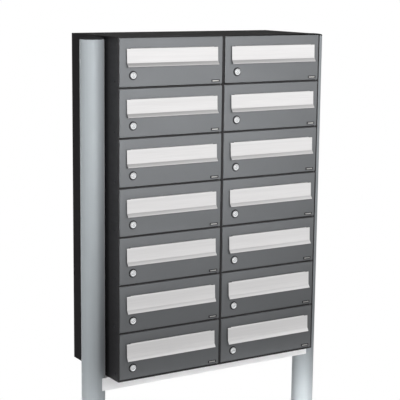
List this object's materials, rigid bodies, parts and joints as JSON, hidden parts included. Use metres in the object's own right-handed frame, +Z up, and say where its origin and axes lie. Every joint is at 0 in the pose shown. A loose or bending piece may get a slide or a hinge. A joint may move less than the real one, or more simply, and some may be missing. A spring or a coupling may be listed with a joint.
{
  "type": "cluster mailbox unit",
  "caption": "Two sheet-steel columns of stacked letterboxes between two round posts, each box with a side-hung door, a top-hung steel flap over its letter slot and a cam lock.",
  "frame": {"origin": "on the ground under the middle of the unit's overall width and depth", "axes": "+X to the right seen from the front, +Y from the doors to the back, +Z up"},
  "size_m": [1.0788, 0.338, 1.638],
  "materials": {
    "case_paint": "near-black powder coat on sheet steel, fine satin texture",
    "door_paint": "anthracite grey powder coat, satin, fine texture",
    "flap_steel": "stainless steel, brushed along its length",
    "lock_chrome": "satin nickel-plated lock plug and cam",
    "pole_aluminium": "natural anodised tube, fine lengthwise drawing lines",
    "bar_paint": "light grey powder coat, satin",
    "cap_plastic": "black moulded plastic, matt",
    "zinc_steel": "bright zinc-plated steel"
  },
  "bodies": {
    "housing": {"case_left": "case_paint", "back_panel_left": "case_paint", "hinge_rod_left": "zinc_steel", "case_right": "case_paint", "back_panel_right": "case_paint", "hinge_rod_right": "zinc_steel", "pole_left": "pole_aluminium", "pole_cap_left": "cap_plastic", "pole_bolt_left_upper": "zinc_steel", "pole_bolt_left_lower": "zinc_steel", "crossbar_bolt_left": "zinc_steel", "pole_right": "pole_aluminium", "pole_cap_right": "cap_plastic", "pole_bolt_right_upper": "zinc_steel", "pole_bolt_right_lower": "zinc_steel", "crossbar_bolt_right": "zinc_steel", "crossbar": "bar_paint"},
    "door_left_1": {"door_left_1": "door_paint"},
    "flap_left_1": {"flap_left_1": "flap_steel"},
    "lock_left_1": {"lock_left_1": "lock_chrome"},
    "door_left_2": {"door_left_2": "door_paint"},
    "flap_left_2": {"flap_left_2": "flap_steel"},
    "lock_left_2": {"lock_left_2": "lock_chrome"},
    "door_left_3": {"door_left_3": "door_paint"},
    "flap_left_3": {"flap_left_3": "flap_steel"},
    "lock_left_3": {"lock_left_3": "lock_chrome"},
    "door_left_4": {"door_left_4": "door_paint"},
    "flap_left_4": {"flap_left_4": "flap_steel"},
    "lock_left_4": {"lock_left_4": "lock_chrome"},
    "door_left_5": {"door_left_5": "door_paint"},
    "flap_left_5": {"flap_left_5": "flap_steel"},
    "lock_left_5": {"lock_left_5": "lock_chrome"},
    "door_left_6": {"door_left_6": "door_paint"},
    "flap_left_6": {"flap_left_6": "flap_steel"},
    "lock_left_6": {"lock_left_6": "lock_chrome"},
    "door_left_7": {"door_left_7": "door_paint"},
    "flap_left_7": {"flap_left_7": "flap_steel"},
    "lock_left_7": {"lock_left_7": "lock_chrome"},
    "door_right_1": {"door_right_1": "door_paint"},
    "flap_right_1": {"flap_right_1": "flap_steel"},
    "lock_right_1": {"lock_right_1": "lock_chrome"},
    "door_right_2": {"door_right_2": "door_paint"},
    "flap_right_2": {"flap_right_2": "flap_steel"},
    "lock_right_2": {"lock_right_2": "lock_chrome"},
    "door_right_3": {"door_right_3": "door_paint"},
    "flap_right_3": {"flap_right_3": "flap_steel"},
    "lock_right_3": {"lock_right_3": "lock_chrome"},
    "door_right_4": {"door_right_4": "door_paint"},
    "flap_right_4": {"flap_right_4": "flap_steel"},
    "lock_right_4": {"lock_right_4": "lock_chrome"},
    "door_right_5": {"door_right_5": "door_paint"},
    "flap_right_5": {"flap_right_5": "flap_steel"},
    "lock_right_5": {"lock_right_5": "lock_chrome"},
    "door_right_6": {"door_right_6": "door_paint"},
    "flap_right_6": {"flap_right_6": "flap_steel"},
    "lock_right_6": {"lock_right_6": "lock_chrome"},
    "door_right_7": {"door_right_7": "door_paint"},
    "flap_right_7": {"flap_right_7": "flap_steel"},
    "lock_right_7": {"lock_right_7": "lock_chrome"}
  },
  "joints": [
    {"name": "door_left_1_hinge", "type": "hinge", "parent": "housing", "child": "door_left_1", "pos_m": [-0.00885, -0.1448, 1.5605], "axis": [0, 0, 1], "range_deg": [0, 100]},
    {"name": "flap_left_1_hinge", "type": "hinge", "parent": "door_left_1", "child": "flap_left_1", "pos_m": [-0.19065, -0.1526, 1.602], "axis": [-1, 0, 0], "range_deg": [0, 75]},
    {"name": "lock_left_1_turn", "type": "hinge", "parent": "door_left_1", "child": "lock_left_1", "pos_m": [-0.33005, -0.149, 1.521], "axis": [0, -1, 0], "range_deg": [0, 90]},
    {"name": "door_left_2_hinge", "type": "hinge", "parent": "housing", "child": "door_left_2", "pos_m": [-0.00885, -0.1448, 1.4055], "axis": [0, 0, 1], "range_deg": [0, 100]},
    {"name": "flap_left_2_hinge", "type": "hinge", "parent": "door_left_2", "child": "flap_left_2", "pos_m": [-0.19065, -0.1526, 1.447], "axis": [-1, 0, 0], "range_deg": [0, 75]},
    {"name": "lock_left_2_turn", "type": "hinge", "parent": "door_left_2", "child": "lock_left_2", "pos_m": [-0.33005, -0.149, 1.366], "axis": [0, -1, 0], "range_deg": [0, 90]},
    {"name": "door_left_3_hinge", "type": "hinge", "parent": "housing", "child": "door_left_3", "pos_m": [-0.00885, -0.1448, 1.2505], "axis": [0, 0, 1], "range_deg": [0, 100]},
    {"name": "flap_left_3_hinge", "type": "hinge", "parent": "door_left_3", "child": "flap_left_3", "pos_m": [-0.19065, -0.1526, 1.292], "axis": [-1, 0, 0], "range_deg": [0, 75]},
    {"name": "lock_left_3_turn", "type": "hinge", "parent": "door_left_3", "child": "lock_left_3", "pos_m": [-0.33005, -0.149, 1.211], "axis": [0, -1, 0], "range_deg": [0, 90]},
    {"name": "door_left_4_hinge", "type": "hinge", "parent": "housing", "child": "door_left_4", "pos_m": [-0.00885, -0.1448, 1.0955], "axis": [0, 0, 1], "range_deg": [0, 100]},
    {"name": "flap_left_4_hinge", "type": "hinge", "parent": "door_left_4", "child": "flap_left_4", "pos_m": [-0.19065, -0.1526, 1.137], "axis": [-1, 0, 0], "range_deg": [0, 75]},
    {"name": "lock_left_4_turn", "type": "hinge", "parent": "door_left_4", "child": "lock_left_4", "pos_m": [-0.33005, -0.149, 1.056], "axis": [0, -1, 0], "range_deg": [0, 90]},
    {"name": "door_left_5_hinge", "type": "hinge", "parent": "housing", "child": "door_left_5", "pos_m": [-0.00885, -0.1448, 0.9405], "axis": [0, 0, 1], "range_deg": [0, 100]},
    {"name": "flap_left_5_hinge", "type": "hinge", "parent": "door_left_5", "child": "flap_left_5", "pos_m": [-0.19065, -0.1526, 0.982], "axis": [-1, 0, 0], "range_deg": [0, 75]},
    {"name": "lock_left_5_turn", "type": "hinge", "parent": "door_left_5", "child": "lock_left_5", "pos_m": [-0.33005, -0.149, 0.901], "axis": [0, -1, 0], "range_deg": [0, 90]},
    {"name": "door_left_6_hinge", "type": "hinge", "parent": "housing", "child": "door_left_6", "pos_m": [-0.00885, -0.1448, 0.7855], "axis": [0, 0, 1], "range_deg": [0, 100]},
    {"name": "flap_left_6_hinge", "type": "hinge", "parent": "door_left_6", "child": "flap_left_6", "pos_m": [-0.19065, -0.1526, 0.827], "axis": [-1, 0, 0], "range_deg": [0, 75]},
    {"name": "lock_left_6_turn", "type": "hinge", "parent": "door_left_6", "child": "lock_left_6", "pos_m": [-0.33005, -0.149, 0.746], "axis": [0, -1, 0], "range_deg": [0, 90]},
    {"name": "door_left_7_hinge", "type": "hinge", "parent": "housing", "child": "door_left_7", "pos_m": [-0.00885, -0.1448, 0.6305], "axis": [0, 0, 1], "range_deg": [0, 100]},
    {"name": "flap_left_7_hinge", "type": "hinge", "parent": "door_left_7", "child": "flap_left_7", "pos_m": [-0.19065, -0.1526, 0.672], "axis": [-1, 0, 0], "range_deg": [0, 75]},
    {"name": "lock_left_7_turn", "type": "hinge", "parent": "door_left_7", "child": "lock_left_7", "pos_m": [-0.33005, -0.149, 0.591], "axis": [0, -1, 0], "range_deg": [0, 90]},
    {"name": "door_right_1_hinge", "type": "hinge", "parent": "housing", "child": "door_right_1", "pos_m": [0.37245, -0.1448, 1.5605], "axis": [0, 0, 1], "range_deg": [0, 100]},
    {"name": "flap_right_1_hinge", "type": "hinge", "parent": "door_right_1", "child": "flap_right_1", "pos_m": [0.19065, -0.1526, 1.602], "axis": [-1, 0, 0], "range_deg": [0, 75]},
    {"name": "lock_right_1_turn", "type": "hinge", "parent": "door_right_1", "child": "lock_right_1", "pos_m": [0.05125, -0.149, 1.521], "axis": [0, -1, 0], "range_deg": [0, 90]},
    {"name": "door_right_2_hinge", "type": "hinge", "parent": "housing", "child": "door_right_2", "pos_m": [0.37245, -0.1448, 1.4055], "axis": [0, 0, 1], "range_deg": [0, 100]},
    {"name": "flap_right_2_hinge", "type": "hinge", "parent": "door_right_2", "child": "flap_right_2", "pos_m": [0.19065, -0.1526, 1.447], "axis": [-1, 0, 0], "range_deg": [0, 75]},
    {"name": "lock_right_2_turn", "type": "hinge", "parent": "door_right_2", "child": "lock_right_2", "pos_m": [0.05125, -0.149, 1.366], "axis": [0, -1, 0], "range_deg": [0, 90]},
    {"name": "door_right_3_hinge", "type": "hinge", "parent": "housing", "child": "door_right_3", "pos_m": [0.37245, -0.1448, 1.2505], "axis": [0, 0, 1], "range_deg": [0, 100]},
    {"name": "flap_right_3_hinge", "type": "hinge", "parent": "door_right_3", "child": "flap_right_3", "pos_m": [0.19065, -0.1526, 1.292], "axis": [-1, 0, 0], "range_deg": [0, 75]},
    {"name": "lock_right_3_turn", "type": "hinge", "parent": "door_right_3", "child": "lock_right_3", "pos_m": [0.05125, -0.149, 1.211], "axis": [0, -1, 0], "range_deg": [0, 90]},
    {"name": "door_right_4_hinge", "type": "hinge", "parent": "housing", "child": "door_right_4", "pos_m": [0.37245, -0.1448, 1.0955], "axis": [0, 0, 1], "range_deg": [0, 100]},
    {"name": "flap_right_4_hinge", "type": "hinge", "parent": "door_right_4", "child": "flap_right_4", "pos_m": [0.19065, -0.1526, 1.137], "axis": [-1, 0, 0], "range_deg": [0, 75]},
    {"name": "lock_right_4_turn", "type": "hinge", "parent": "door_right_4", "child": "lock_right_4", "pos_m": [0.05125, -0.149, 1.056], "axis": [0, -1, 0], "range_deg": [0, 90]},
    {"name": "door_right_5_hinge", "type": "hinge", "parent": "housing", "child": "door_right_5", "pos_m": [0.37245, -0.1448, 0.9405], "axis": [0, 0, 1], "range_deg": [0, 100]},
    {"name": "flap_right_5_hinge", "type": "hinge", "parent": "door_right_5", "child": "flap_right_5", "pos_m": [0.19065, -0.1526, 0.982], "axis": [-1, 0, 0], "range_deg": [0, 75]},
    {"name": "lock_right_5_turn", "type": "hinge", "parent": "door_right_5", "child": "lock_right_5", "pos_m": [0.05125, -0.149, 0.901], "axis": [0, -1, 0], "range_deg": [0, 90]},
    {"name": "door_right_6_hinge", "type": "hinge", "parent": "housing", "child": "door_right_6", "pos_m": [0.37245, -0.1448, 0.7855], "axis": [0, 0, 1], "range_deg": [0, 100]},
    {"name": "flap_right_6_hinge", "type": "hinge", "parent": "door_right_6", "child": "flap_right_6", "pos_m": [0.19065, -0.1526, 0.827], "axis": [-1, 0, 0], "range_deg": [0, 75]},
    {"name": "lock_right_6_turn", "type": "hinge", "parent": "door_right_6", "child": "lock_right_6", "pos_m": [0.05125, -0.149, 0.746], "axis": [0, -1, 0], "range_deg": [0, 90]},
    {"name": "door_right_7_hinge", "type": "hinge", "parent": "housing", "child": "door_right_7", "pos_m": [0.37245, -0.1448, 0.6305], "axis": [0, 0, 1], "range_deg": [0, 100]},
    {"name": "flap_right_7_hinge", "type": "hinge", "parent": "door_right_7", "child": "flap_right_7", "pos_m": [0.19065, -0.1526, 0.672], "axis": [-1, 0, 0], "range_deg": [0, 75]},
    {"name": "lock_right_7_turn", "type": "hinge", "parent": "door_right_7", "child": "lock_right_7", "pos_m": [0.05125, -0.149, 0.591], "axis": [0, -1, 0], "range_deg": [0, 90]}
  ]
}
